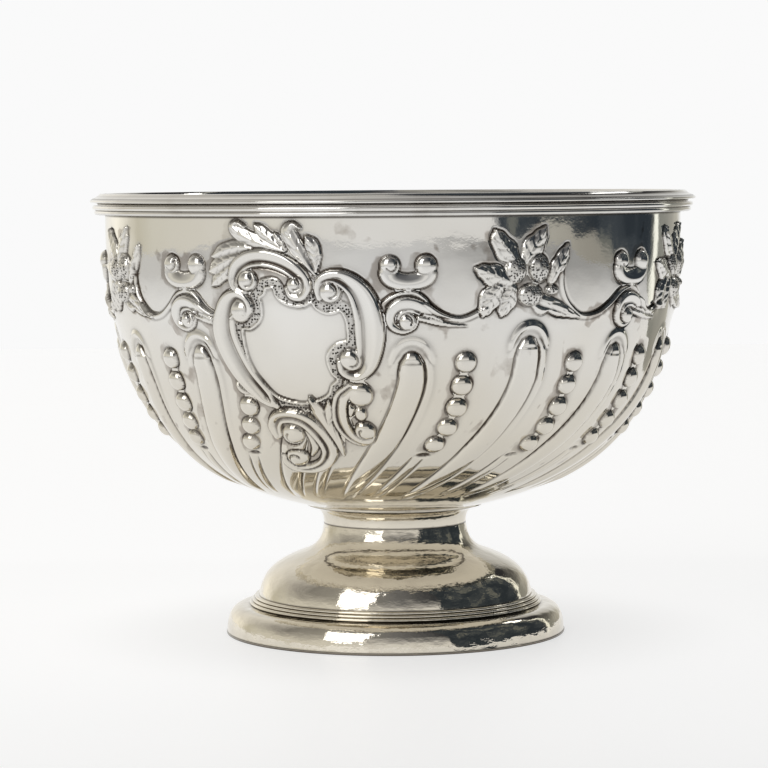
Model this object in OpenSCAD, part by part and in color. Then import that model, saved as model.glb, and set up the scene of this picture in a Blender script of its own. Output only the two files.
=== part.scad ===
// Footed punch bowl in silver sheet, swirl-fluted and embossed, on a spun pedestal foot.
// Origin: middle of the face that the foot stands on. +Z is up. Millimetres.

/* [Bowl] */
// Outer radius of the bowl at its mouth
bowl_r = 133; // [110:0.5:140]
// Height of the level where the upright wall starts to turn into the belly
wall_z = 190; // [180:1:194]
// Overall height, to the top of the lip
lip_z = 204.8; // [200:0.2:220]
// How far the wall stays upright before the belly draws in (a larger number is fuller)
fullness = 104; // [80:1:110]
// How far the belly runs out flat from the seat (a larger number is flatter)
flatness = 37; // [25:1:45]
// Thickness of the sheet that the bowl is raised from
sheet = 1.0; // [0.8:0.1:1.6]

/* [Rim] */
// Largest radius of the lip moulding
rim_r = 140; // [138:0.5:150]
// Height of the lip moulding
lip_h = 5.2; // [3:0.2:6]
// Height of the reeded wire under it
reed_h = 4.4; // [4:0.2:6]

/* [Ornament] */
// Number of swirled flutes round the belly, and of the rows of beads between them
flute_count = 16; // [12:1:20]
// How far a flute stands out of the wall
flute_h = 1.8; // [0.8:0.1:2.5]
// Number of beads in each row
bead_count = 5; // [3:1:6]
// Radius of the topmost bead; the rest get smaller towards the foot
bead_r = 4.75; // [3.5:0.25:5.5]
// How far the flutes and beads swing round on their way down to the foot, in degrees
swirl = 18; // [0:1:30]
// Direction of one flute, measured from the front
first_flute = 3.5; // [0:0.5:22.5]

/* [Foot] */
// Height of the level where the bowl sits on the collar
foot_h = 60; // [50:1:70]
// Radius of the collar's top flange
collar_r = 41; // [38:0.5:46]
// Radius of the neck at its narrowest
neck_r = 33; // [28:0.5:36]
// Outer radius of the foot where it stands
foot_r = 79; // [74:0.5:90]

/* [Hidden] */
$fn = 120;

silver = [0.83, 0.81, 0.76];
bright_silver = [0.88, 0.87, 0.83];
foot_silver = [0.78, 0.74, 0.66];

rim_z = lip_z - lip_h;         // joint between the lip moulding and the reeded wire
reed_z = rim_z - reed_h;       // lower edge of the reeded wire
seat_slope = 13.5;             // slope of the belly where it meets the seat
collar_z = foot_h - 9;         // joint between the collar and the pedestal
ledge_z = 17.6;                // joint between the pedestal and the ledge wire
flange_z = 13.4;               // joint between the ledge wire and the flange
seat_wire_z = 1;               // joint between the flange and the seat wire
shoulder_r = foot_r - 15.1;    // largest radius of the pedestal's dome
ledge_r = foot_r - 10.8;       // largest radius of the ledge wire
under_r = shoulder_r - 6;      // inner radius of the ledge wire and of the flange

// ---- outlines, each a list of [radius, height] points ----

function lerp(a, b, t) = a + (b - a) * t;

// A cubic curve from a to d, pulled towards b and c.
function curve(a, b, c, d, steps = 10) =
    [for (i = [0 : steps]) let (t = i / steps, s = 1 - t)
        s*s*s * a + 3*s*s*t * b + 3*s*t*t * c + t*t*t * d];

// Part of a circle about centre, from angle a0 to angle a1.
function round_part(centre, r, a0, a1, steps = 6) =
    [for (i = [0 : steps]) let (a = lerp(a0, a1, i / steps))
        centre + r * [cos(a), sin(a)]];

// Unit normal of an open outline at point i, on the left of its direction.
function normal_at(pts, i) =
    let (p = pts[max(i - 1, 0)], q = pts[min(i + 1, len(pts) - 1)], d = q - p)
    [-d[1], d[0]] / norm(d);

// The outline moved sideways by d, to the left for a positive d.
function beside(pts, d) = [for (i = [0 : len(pts) - 1]) pts[i] + d * normal_at(pts, i)];

function reversed(pts) = [for (i = [len(pts) - 1 : -1 : 0]) pts[i]];
function but_first(pts) = [for (i = [1 : len(pts) - 1]) pts[i]];
function but_ends(pts) = [for (i = [1 : len(pts) - 2]) pts[i]];
function last_of(pts) = pts[len(pts) - 1];

// Outside of the bowl, from the seat's edge up to the upright wall.
function belly() = curve(
    [collar_r, foot_h], [collar_r, foot_h] + flatness * [cos(seat_slope), sin(seat_slope)],
    [bowl_r, wall_z - fullness], [bowl_r, wall_z], 26);

module ring(outline) rotate_extrude() polygon(outline);

// ---- the map that the ornament is laid out on: degrees round, and mm down the wall ----

wall_line = concat([[bowl_r, reed_z]], reversed(belly()));
wall_run = [for (i = 0, s = 0; i < len(wall_line);
    s = s + norm(wall_line[min(i + 1, len(wall_line) - 1)] - wall_line[i]), i = i + 1) s];
radius_map = [for (i = [0 : len(wall_run) - 1]) [wall_run[i], wall_line[i][0]]];
height_map = [for (i = [0 : len(wall_run) - 1]) [wall_run[i], wall_line[i][1]]];

function wall_at(s) = [lookup(s, radius_map), lookup(s, height_map)];
function outward(s) = let (d = wall_at(s + 1) - wall_at(s - 1)) [-d[1], d[0]] / norm(d);

// Point at an angle from the front, s down the wall and h out of it.
function on_wall(angle, s, h = 0) = let (p = wall_at(s) + h * outward(s))
    [p[0] * sin(angle), -p[0] * cos(angle), p[1]];

// Angle lost by a flute or a row of beads at s down the wall: none at first, then more and more.
function lean(s) = -swirl * pow(max(s - 66, 0) / 80, 1.5);

// A flute runs from flute_top to flute_end down the wall; both ends sink into it.
flute_top = 56;
flute_end = 146;
flute_tube = 11;

// Centre of the circle through three [radius, height] points.
function centre_of(p, q, t) =
    let (d = 2 * (p[0] * (q[1] - t[1]) + q[0] * (t[1] - p[1]) + t[0] * (p[1] - q[1])))
    [((p * p) * (q[1] - t[1]) + (q * q) * (t[1] - p[1]) + (t * t) * (p[1] - q[1])) / d,
     ((p * p) * (t[0] - q[0]) + (q * q) * (p[0] - t[0]) + (t * t) * (q[0] - p[0])) / d];

// One flute: a stretch of round tube bent down the wall, with only its back standing out.
module flute(angle) {
    middle = 0.48 * flute_top + 0.52 * flute_end;
    start = wall_at(flute_top);
    crest = wall_at(middle) + flute_h * outward(middle);
    end = wall_at(flute_end);
    hub = centre_of(start, crest, end);
    arm = norm(crest - hub);
    aim = atan2((crest - hub)[1], (crest - hub)[0]);
    from = atan2((end - hub)[1], (end - hub)[0]) - 4;
    to = atan2((start - hub)[1], (start - hub)[0]) + 4;
    rotate([0, 0, angle + lean(middle) - 90])
        translate([hub[0], 0, hub[1]]) rotate([0, -aim, 0]) rotate([-swirl, 0, 0])
            rotate([90, 0, 0]) rotate([0, 0, from - aim])
                rotate_extrude(angle = to - from) translate([arm - flute_tube, 0])
                    circle(flute_tube);
}

// One row of beads, each sunk a little under half into the wall.
module bead_row(angle) {
    for (i = [0 : bead_count - 1]) {
        s = 63.5 + 10.4 * i - 0.12 * i * i;
        translate(on_wall(angle + lean(s), s, -0.4)) sphere(bead_r - 0.2 * i);
    }
}

// ---- pieces ----

// The raised sheet with its flutes and beads, which are punched up out of the sheet.
module bowl_shell() color(silver) {
    difference() {
        union() {
            bowl_wall();
            for (i = [0 : flute_count - 1]) {
                flute(first_flute + 360 / flute_count * i);
                bead_row(first_flute + 360 / flute_count * (i + 0.47));
            }
        }
        bowl_hollow();
    }
}

// Everything inside the sheet, so that the backs of the beads don't reach into the bowl.
module bowl_hollow() {
    inner = beside(belly(), sheet);
    ring(concat([[0, foot_h + sheet], [inner[0][0], foot_h + sheet]], but_first(inner),
                [[bowl_r - sheet, lip_z + 1], [0, lip_z + 1]]));
}

// The plain form: flat seat, full belly and upright wall.
module bowl_wall() {
    outer = belly();
    inner = beside(outer, sheet);
    ring(concat(
        [[0, foot_h]], outer, [[bowl_r, lip_z], [bowl_r - sheet, lip_z]],
        reversed(but_first(inner)), [[inner[0][0], foot_h + sheet], [0, foot_h + sheet]]));
}

// Drawn wire round the lip: a small roll, a slope outwards to a bead and a cove under the bead.
module rim_moulding() color(bright_silver) {
    roll = 0.9;
    bead = 0.6;
    bead_z = rim_z + 1.8;
    cove = curve([rim_r - 3.6, rim_z], [rim_r - 3.8, rim_z + 1.1],
                 [rim_r - 2, rim_z + 0.9], [rim_r - bead, bead_z - bead], 6);
    slope = curve([rim_r - 0.4, bead_z + 0.5], [rim_r - 1.2, bead_z + 1.3],
                  [rim_r - 2.9, bead_z + 1.5], [rim_r - 4.1, lip_z - 0.6], 6);
    ring(concat(
        [[bowl_r, rim_z]], cove,
        but_first(round_part([rim_r - bead, bead_z], bead, -90, 50, 6)), slope,
        round_part([rim_r - 5, lip_z - roll], roll, 30, 90, 6),
        [[bowl_r, lip_z]]));
}

// Drawn wire with two reeds, soldered to the wall under the lip moulding.
module rim_reed_wire() color(bright_silver) {
    reed = reed_h / 4;
    ring(concat(
        [[bowl_r, reed_z], [rim_r - 3.2, reed_z]],
        round_part([rim_r - 3.2, reed_z + reed], reed, -90, 60, 8),
        round_part([rim_r - 2.3, rim_z - reed], reed, -60, 90, 8),
        [[bowl_r, rim_z]]));
}

// Ring between bowl and pedestal, coved outwards to a thin flange that carries the seat.
module foot_collar() color(foot_silver)
    ring(concat(
        [[neck_r - 2.5, collar_z], [neck_r + 0.2, collar_z]],
        curve([neck_r + 0.2, collar_z], [neck_r + 0.2, collar_z + 5],
              [neck_r + 2, foot_h - 1.7], [collar_r, foot_h - 0.6], 9),
        [[collar_r, foot_h], [neck_r - 2.5, foot_h]]));

// Spun sheet: waisted neck that flares quickly into a full, bell-shaped shoulder.
module foot_pedestal() color(foot_silver) {
    turn = [shoulder_r - 21.9, 38.2];
    neck = curve([neck_r + 0.2, collar_z], [neck_r + 0.9, collar_z - 6.5],
                 [neck_r + 3, 40.5], turn, 12);
    bell = curve(turn, [shoulder_r - 11.9, 34.4],
                 [shoulder_r - 2.1, 31], [shoulder_r, ledge_z], 16);
    outer = concat(neck, but_first(bell));
    inner = beside(outer, -1.2);
    ring(concat(outer, [[last_of(inner)[0], ledge_z]], reversed(but_ends(inner)),
                [[inner[0][0], collar_z]]));
}

// Drawn wire under the dome: three fine reeds that step outwards.
module foot_ledge_wire() color(foot_silver) {
    reed = (ledge_z - flange_z) / 6;
    ring(concat(
        [[under_r, flange_z], [ledge_r - reed, flange_z]],
        [for (i = [0 : 2])
            each but_first(round_part([ledge_r - reed - 1.2 * i, flange_z + (2 * i + 1) * reed],
                                      reed, -90, 90, 8))],
        [[under_r, ledge_z]]));
}

// Spun base: a narrow step that rolls over into a full rounded side.
module foot_flange() color(foot_silver) {
    step = curve([ledge_r - 0.6, flange_z], [ledge_r + 0.4, flange_z - 0.4],
                 [ledge_r + 1.2, flange_z - 0.5], [foot_r - 8.6, flange_z - 0.5], 5);
    side = curve([foot_r - 8.6, flange_z - 0.5], [foot_r - 3.6, flange_z - 0.5],
                 [foot_r - 0.5, 10.2], [foot_r - 0.25, 1.6], 14);
    outer = concat(step, but_first(side), [[foot_r - 0.2, seat_wire_z]]);
    inner = beside(outer, -1.4);
    ring(concat(outer, [[foot_r - 1.8, seat_wire_z]], reversed(but_ends(but_ends(inner))),
                [[under_r, flange_z - 1.4], [under_r, flange_z]]));
}

// Flat wire that stiffens the edge and stands on the table.
module foot_seat_wire() color(foot_silver)
    ring([[foot_r - 4, 0], [foot_r, 0], [foot_r, seat_wire_z], [foot_r - 4, seat_wire_z]]);

bowl_shell();
rim_moulding();
rim_reed_wire();
foot_collar();
foot_pedestal();
foot_ledge_wire();
foot_flange();
foot_seat_wire();
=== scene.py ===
"""Looks of the footed silver punch bowl: embossed shell, rim wires, spun foot, studio."""
import math

import bpy
import numpy as np
from mathutils import Matrix, Vector


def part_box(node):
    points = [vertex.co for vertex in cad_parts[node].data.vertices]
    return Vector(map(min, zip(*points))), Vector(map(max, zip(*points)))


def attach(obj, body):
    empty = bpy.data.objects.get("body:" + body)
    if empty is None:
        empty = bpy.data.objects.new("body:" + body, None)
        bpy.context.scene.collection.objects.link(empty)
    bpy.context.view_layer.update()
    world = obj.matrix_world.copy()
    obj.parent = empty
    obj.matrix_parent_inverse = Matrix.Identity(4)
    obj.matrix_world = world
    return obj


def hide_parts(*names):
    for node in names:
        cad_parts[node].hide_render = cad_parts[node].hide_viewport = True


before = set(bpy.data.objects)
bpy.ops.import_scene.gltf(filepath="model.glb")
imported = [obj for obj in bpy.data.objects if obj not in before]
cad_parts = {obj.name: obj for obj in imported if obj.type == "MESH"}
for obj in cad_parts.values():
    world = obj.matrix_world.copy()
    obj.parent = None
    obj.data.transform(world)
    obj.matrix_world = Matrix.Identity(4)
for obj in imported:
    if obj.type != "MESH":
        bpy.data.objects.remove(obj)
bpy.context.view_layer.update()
MM = 0.001
RNG = np.random.default_rng(7)
COLS = 2048  # columns of the map, round the shell
FINE = 1.0    # spacing of its rows against the full model's
LINE = 2        # how many cells wide a chased line is


# ---------------------------------------------------------------- profile, in mm

def box_mm(node):
    lo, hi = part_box(node)
    return lo / MM, hi / MM


lip_z = box_mm("rim_moulding")[1].z
rim_r = box_mm("rim_moulding")[1].x
reed_z = box_mm("rim_reed_wire")[0].z
rim_z = box_mm("rim_moulding")[0].z
foot_h = box_mm("foot_collar")[1].z
collar_z = box_mm("foot_collar")[0].z
collar_r = box_mm("foot_collar")[1].x
foot_r = box_mm("foot_seat_wire")[1].x
ledge_z = box_mm("foot_pedestal")[0].z
flange_z = box_mm("foot_ledge_wire")[0].z
seat_wire_z = box_mm("foot_seat_wire")[1].z
bowl_r = rim_r - 7.0          # the rim stands 7 mm out from the wall
wall_z = lip_z - 14.8         # where the upright wall starts to turn in
sheet = 1.0                   # thickness of the bowl
fullness = 104                # how far the wall stays upright before the belly draws in
flatness = 37                 # how far the belly runs out flat from its seat
seat_slope = math.radians(13.5)     # of the belly where it meets the collar
neck_r = 33.0                 # the neck at its narrowest
shoulder_r = foot_r - 15.1    # the pedestal's dome at its widest
ledge_r = foot_r - 10.8       # outside of the ledge wire
under_r = shoulder_r - 6      # inside of the ledge wire and the flange


def cubic(a, b, c, d, n):
    """n points on a curve from a to d that is pulled towards b and c."""
    t = np.linspace(0, 1, n)[:, None]
    a, b, c, d = (np.array(v, float) for v in (a, b, c, d))
    return (1 - t) ** 3 * a + 3 * (1 - t) ** 2 * t * b + 3 * (1 - t) * t * t * c + t ** 3 * d


def arc(cx, cy, r, a0, a1, n):
    """n points on a circle's arc, from a0 to a1 degrees."""
    t = np.radians(np.linspace(a0, a1, n))
    return np.stack([cx + r * np.cos(t), cy + r * np.sin(t)], 1)


wall = np.concatenate([
    [[bowl_r, z] for z in np.linspace(lip_z, wall_z, 40)],
    cubic((bowl_r, wall_z), (bowl_r, wall_z - fullness),
          (collar_r + flatness * math.cos(seat_slope), foot_h + flatness * math.sin(seat_slope)),
          (collar_r, foot_h), 3000)[1:]])
# s is the way down the wall, from the lower edge of the reeded wire
run = np.concatenate([[0], np.cumsum(np.hypot(*np.diff(wall, axis=0).T))])
run -= run[np.argmin(np.abs(wall[:, 1] - reed_z))]
RUN_END = float(run[-1])


def radius(s):
    return np.interp(s, run, wall[:, 0])


def height(s):
    return np.interp(s, run, wall[:, 1])


def outward(s):
    """The wall's outward direction at s, as its parts along the radius and the axis."""
    dr = radius(s + 0.6) - radius(s - 0.6)
    dz = height(s + 0.6) - height(s - 0.6)
    n = np.hypot(dr, dz)
    return -dz / n, dr / n


# ---------------------------------------------------------------- the relief's map

def span(a, b, step):
    """Places of rows from a to b, about step apart."""
    return np.linspace(a, b, max(2, int(round((b - a) / (step * FINE)))), endpoint=False)


# a row for each place in S, closest where the ornament is, and a column for each angle in TH
S = np.concatenate([
    span(-8.8, 0, 2.2), span(0, 52, 0.42), span(52, 124, 0.56), span(124, 158, 0.9),
    span(158, RUN_END, 1.8), [RUN_END]])
S[0] = run[0]
TH = (np.arange(COLS) / COLS * 2 - 1) * math.pi
LEAN_FROM = 70                       # s where the flutes start to lean
LEAN_OVER = 80                       # mm over which they swing by some 20 degrees
# the columns swing round with the flutes, so that the flutes' edges stay clean
SWING = np.radians(-20.0 * (np.clip(S - LEAN_FROM, 0, 88) / LEAN_OVER) ** 1.5)
R = radius(S)
H = np.zeros((len(S), COLS))         # height of the relief
ORN = np.zeros_like(H)               # 1 on applied ornament
MAT = np.zeros_like(H)               # matted ground
BROWN = np.zeros_like(H)             # tarnished valleys
CLEAN = np.ones_like(H)              # 0 where the metal is kept bright
STREAK = np.zeros_like(H)            # where tarnish gathers beside the flutes


class Patch:
    """A window of the map: X mm to the right of a direction, Y mm down the wall.

    Z is its height, M how matted it is and B how brown.
    """

    def __init__(self, deg, half_width, s0, s1):
        t0 = math.radians(deg)
        self.rows = np.where((S >= s0) & (S <= s1))[0]
        swing = SWING[self.rows]
        reach = half_width / radius(min(s1, RUN_END))
        first = int(((t0 - reach - swing.max()) / math.pi + 1) / 2 * COLS)
        last = int(((t0 + reach - swing.min()) / math.pi + 1) / 2 * COLS) + 1
        self.cols = np.arange(first, last)
        th = ((self.cols / COLS * 2 - 1) * math.pi)[None, :] - t0 + swing[:, None]
        self.X = th * R[self.rows][:, None]
        self.Y = np.repeat(S[self.rows][:, None], th.shape[1], 1)
        self.Z = np.zeros_like(self.X)
        self.M = np.zeros_like(self.X)
        self.B = np.zeros_like(self.X)
        self.ix = np.ix_(self.rows, self.cols % COLS)

    def up(self, value):
        """Raises the patch to value where value is higher."""
        self.Z = np.maximum(self.Z, value)

    def lay(self, groove=0.45):
        """Adds the patch to the map, with a chased line round it."""
        on = np.clip(self.Z / 0.25, 0, 1)
        near = blur(on, LINE, 1)
        line = np.clip(near * 2.0, 0, 1) * (1 - on) * VARY[self.ix]
        H[self.ix] += self.Z - groove * line
        ORN[self.ix] = np.maximum(ORN[self.ix], on)
        MAT[self.ix] = np.maximum(MAT[self.ix], self.M)
        BROWN[self.ix] = np.maximum(BROWN[self.ix], self.B)


def blur(a, k, times=2, wrap=False):
    """Box blur of half-width k cells, repeated."""
    for _ in range(times):
        for axis in (0, 1):
            pad = [(0, 0), (0, 0)]
            pad[axis] = (k + 1, k)
            mode = "wrap" if wrap and axis == 1 else "edge"
            c = np.cumsum(np.pad(a, pad, mode=mode), axis)
            n = a.shape[axis]
            hi = [slice(None), slice(None)]
            lo = [slice(None), slice(None)]
            hi[axis] = slice(2 * k + 1, 2 * k + 1 + n)
            lo[axis] = slice(0, n)
            a = (c[tuple(hi)] - c[tuple(lo)]) / (2 * k + 1)
    return a


def haze(k):
    """Smooth random field over the map, about -2..2, with features of k cells."""
    field = blur(RNG.normal(size=H.shape), k, 2, wrap=True)
    return field / field.std()


VARY = np.clip(0.72 + 0.42 * haze(12), 0.15, 1.15)     # how firmly a line is chased


def smooth_line(points, n=10):
    """Points (x, y, half width) joined by a smooth curve through them."""
    p = np.array(points, float)
    p = np.concatenate([[2 * p[0] - p[1]], p, [2 * p[-1] - p[-2]]])
    out = []
    for i in range(1, len(p) - 2):
        t = np.linspace(0, 1, n, endpoint=False)[:, None]
        a, b, c, d = p[i - 1], p[i], p[i + 1], p[i + 2]
        out.append(0.5 * (2 * b + (c - a) * t + (2 * a - 5 * b + 4 * c - d) * t * t
                          + (3 * b - a - 3 * c + d) * t ** 3))
    out.append(p[-2][None])
    q = np.concatenate(out)
    q[:, 2] = np.maximum(q[:, 2], 0.15)
    return q


def along(X, Y, points, n=10):
    """Nearest place on a curve: signed distance, half width, and how far along it is, from 0 to 1."""
    q = smooth_line(points, n)
    best = np.full(X.shape, 1e9)
    side = np.zeros(X.shape)
    width = np.ones(X.shape)
    where = np.zeros(X.shape)
    length = np.concatenate([[0], np.cumsum(np.hypot(*np.diff(q[:, :2], axis=0).T))])
    for i in range(len(q) - 1):
        (ax, ay), (bx, by) = q[i, :2], q[i + 1, :2]
        dx, dy = bx - ax, by - ay
        t = np.clip(((X - ax) * dx + (Y - ay) * dy) / (dx * dx + dy * dy + 1e-9), 0, 1)
        w = q[i, 2] + (q[i + 1, 2] - q[i, 2]) * t
        ex, ey = X - ax - t * dx, Y - ay - t * dy
        d = np.hypot(ex, ey)
        nearer = d / w < best
        best = np.where(nearer, d / w, best)
        side = np.where(nearer, np.sign(dx * ey - dy * ex) * d, side)
        width = np.where(nearer, w, width)
        where = np.where(nearer, length[i] + t * (length[i + 1] - length[i]), where)
    return side, width, where / length[-1]


def hump(u, power=0.5):
    """A rounded rise over u from -1 to 1; a larger power makes it more pointed."""
    return np.clip(1 - u * u, 0, None) ** power


def dome(p, x, y, rx, ry, h):
    p.up(h * hump(np.hypot((p.X - x) / rx, (p.Y - y) / ry)))


def eye(p, x, y, r, h, start, sweep):
    """The rolled end of a scroll: a dome with a spiral line cut into it."""
    q = np.hypot(p.X - x, p.Y - y)
    t = (np.degrees(np.arctan2(p.Y - y, p.X - x)) - start) % 360 / sweep
    line = np.exp(-((q - r * (0.78 - 0.40 * t)) / 0.50) ** 2) * (t < 1) * np.clip(6 * (1 - t), 0, 1)
    p.up(np.where(q < r, h * hump(q / r) - 1.15 * line, 0))


def band(p, points, h, flip=1, groove=-0.45, plain=False):
    """A C-scroll: a broad roll, highest near its outer side, with a thin fillet on its inner side.

    flip says which side is the inner one, and groove where the fillet starts. A plain one has no fillet.
    """
    d, w, _ = along(p.X, p.Y, points)
    u = flip * d / w
    on = np.abs(u) < 1
    if plain:
        p.up(h * hump(u - 0.34 * (1 - u * u)) * np.clip(w / 2.2, 0.3, 1) * on)
        return
    wide = np.clip((w - 1.6) / 1.8, 0, 1)
    v = (u - 0.5 - 0.5 * groove) / (0.5 - 0.5 * groove)
    outer = hump(np.clip(v - 0.42 * (1 - v * v), -1, 1), 0.62) * (np.abs(v) < 1)
    inner = 0.50 * hump((u + 0.5 - 0.5 * groove) / (0.5 + 0.5 * groove))
    floor = 0.24 * (np.abs(u) < 0.94)
    two = np.maximum(np.maximum(outer, inner), floor)
    p.up(h * (wide * two + (1 - wide) * hump(u)) * np.clip(w / 2.2, 0.3, 1) * on)
    p.B = np.maximum(p.B, wide * on * np.clip(1.2 - np.abs(u - groove) / 0.16, 0, 1))


def leaf(p, points, h, veins, wave=0.05):
    """A leaf folded along its midrib, with fine side veins and a slightly wavy edge."""
    d, w, t = along(p.X, p.Y, points)
    w = w * (1 + wave * np.sin(2 * math.pi * veins * t))
    u = np.abs(d / w)
    body = np.clip(1 - u, 0, 1) ** 0.62 + 0.16 * np.exp(-((u - 0.82) / 0.12) ** 2)
    rib = 0.22 * np.exp(-(d / 0.35) ** 2) * np.clip(3 - 3 * t, 0, 1)
    side = 0.30 * np.clip(np.cos(2 * math.pi * (veins * 1.5 * t - 0.9 * u)) - 0.45, 0, 1) * (u < 0.88)
    p.up(np.clip(h * body - rib - side, 0.05, None) * (u < 1))


def berry(p, x, y, rx, ry, h):
    """A matted fruit."""
    q = np.hypot((p.X - x) / rx, (p.Y - y) / ry)
    p.up(h * hump(q) * (q < 1))
    p.M = np.maximum(p.M, 0.9 * (q < 0.88))


# ---------------------------------------------------------------- motifs

# directions from the front, in degrees; the front ones follow the hand-work, the rest are even
SCROLL_AT = [-43.0, 2.7, 51.9, 95.0, 138.5, 182.6, 226.8, 271.0]
FRUIT_AT = [24.8, 71.6, 116.4, 204.6, 248.8, 293.2]
PLATE_AT = [-19.5, 160.5]
FLUTE_AT = [-64.0, -41.5, -19.0, 3.5, 27.0, 50.0, 72.3] + [72.3 + 22.37 * k for k in range(1, 10)]
BEADS_AT = [-51.2, -31.2, -9.0, 14.15, 38.6, 60.6] + [83.0 + 22.37 * k for k in range(10)]
LEFT_SPAN, RIGHT_SPAN = 27.1, 22.1       # from the front scroll to the fruit on either side
FAR = 40                                 # where there is no fruit next to a scroll


def garland(deg):
    """The line that swings from a scroll to its neighbours: steep above, easing off below."""
    p = Patch(deg, 56, 12, 58)
    stations = FRUIT_AT + [q - 360 for q in FRUIT_AT]
    before = min([deg - q for q in stations if q < deg] + [FAR])
    after = min([q - deg for q in stations if q > deg] + [FAR])
    before = LEFT_SPAN if before > 30 else before
    after = RIGHT_SPAN if after > 30 else after
    right = [(0, 31.6, 1), (3.5, 32.4, 1), (7.0, 35.0, 1), (9.6, 38.0, 1), (14, 41.6, 1),
             (20.6, 43.6, 1), (26, 42.9, 1), (32.5, 39.6, 1), (34, 38.6, 1)]
    left = [(-42.2, 17.5, 1), (-43.2, 25, 1), (-42.6, 31, 1), (-40.0, 36.5, 1), (-35.5, 41, 1),
            (-29.5, 43.9, 1), (-21, 43.0, 1), (-13.5, 39, 1), (-7, 34.0, 1), (0, 31.6, 1)]
    left = [(x * before / LEFT_SPAN, y, w) for x, y, w in left]
    right = [(x * after / RIGHT_SPAN, y, w) for x, y, w in right]
    for points in (left, right):
        d, w, t = along(p.X, p.Y, points, 8)
        ends = np.clip(9 * t, 0, 1) if points is left else np.clip(9 * (1 - t), 0, 1)
        fall = np.where(d > 0, 0.50 * np.exp(-(d / 4.6) ** 2) + 0.50 * np.exp(-(d / 1.0) ** 2),
                        np.exp(-(d / 0.5) ** 2))
        dip = 0.35 * np.exp(-((d + 1.2) / 0.55) ** 2)
        inner = 0.22 * np.exp(-((d - 1.9) / 0.45) ** 2)
        half = (p.X < 0) if points is left else (p.X >= 0)
        H[p.ix] += (1.35 * fall - dip - inner) * ends * half


def scroll_motif(deg):
    """A small C-scroll between two balls, over a larger curl with leaves."""
    p = Patch(deg, 40, 12, 56)
    band(p, [(-8.0, 22.0, 3.6), (-7.9, 24.8, 4.1), (-5.2, 27.0, 3.8), (0, 27.9, 3.6),
             (5.2, 27.0, 3.8), (7.9, 24.8, 4.1), (8.0, 22.0, 3.6)], 2.3, flip=1, plain=True)
    eye(p, -7.6, 20.9, 4.3, 3.0, -40, 200)
    dome(p, 7.7, 20.9, 4.5, 4.6, 3.1)
    band(p, [(18, 43.2, 0.4), (11.8, 41.0, 1.4), (6.5, 38.9, 2.5), (1.1, 37.4, 3.0),
             (-3.3, 37.5, 2.9), (-6.6, 39.9, 2.5), (-7.6, 43.8, 2.0), (-6, 47.2, 1.6),
             (-1.9, 48.8, 1.3), (2.2, 47.3, 1.1), (3.9, 44.6, 0.7)], 2.0, flip=1, plain=True)
    leaf(p, [(-4.2, 43.4, 0.6), (-2.6, 40.9, 1.1), (0.8, 40.0, 1.2), (4.6, 41.4, 0.7)], 1.7, 2)
    eye(p, -0.2, 44.9, 3.7, 2.7, -100, 150)
    leaf(p, [(25, 47.0, 0.3), (18, 46.4, 0.8), (11.5, 45.0, 1.2), (4.8, 43.4, 1.1)], 1.0, 2)
    leaf(p, [(7.0, 42.0, 0.6), (10.5, 42.6, 0.9), (14.5, 44.4, 0.4)], 1.1, 1)
    p.lay()


def fruit_motif(deg):
    """Four berries in a spray of leaves."""
    p = Patch(deg, 42, 1.5, 54)
    for tip in ([(-3.4, 20.5, 2.0), (-8.0, 15.2, 4.8), (-11.6, 10.6, 3.7), (-13.4, 6.4, 0.6)],
                [(0.5, 20.0, 2.0), (4.0, 14.4, 4.8), (7.6, 9.6, 3.2), (10.2, 5.2, 0.5)],
                [(-7.0, 28.2, 3.0), (-13.0, 26.0, 4.9), (-18.2, 23.8, 3.0), (-22.2, 22.4, 0.6)],
                [(-5.5, 31, 2.4), (-7.0, 36.0, 4.2), (-8.6, 40.0, 2.7), (-9.8, 43.0, 0.5)],
                [(-11.5, 30.5, 2.4), (-14.8, 35.2, 4.8), (-16.8, 39.4, 3.1), (-18.2, 42.8, 0.5)],
                [(13.5, 28.5, 1.6), (15.6, 23.5, 2.8), (19.0, 18.5, 3.0), (22.0, 13.2, 0.8)]):
        leaf(p, tip, 2.1, 3.0, 0.07)
    leaf(p, [(4, 36.5, 1.4), (10, 37.0, 3.0), (17, 39.8, 3.0), (24, 42.6, 1.9), (29, 44.4, 0.5)],
         1.3, 2)
    leaf(p, [(5.5, 39.0, 1.0), (9.0, 41.0, 1.9), (12.5, 40.8, 0.7)], 1.7, 1)
    leaf(p, [(13.5, 41.0, 1.0), (18.0, 42.4, 1.4), (22, 43.8, 0.4)], 1.4, 1)
    berry(p, -3.8, 23.6, 5.1, 5.7, 3.4)
    berry(p, 7.1, 22.8, 5.0, 6.2, 3.6)
    berry(p, 3.5, 34.2, 5.9, 4.8, 3.7)
    berry(p, 14.0, 32.3, 3.0, 2.2, 2.6)
    p.lay()


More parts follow.
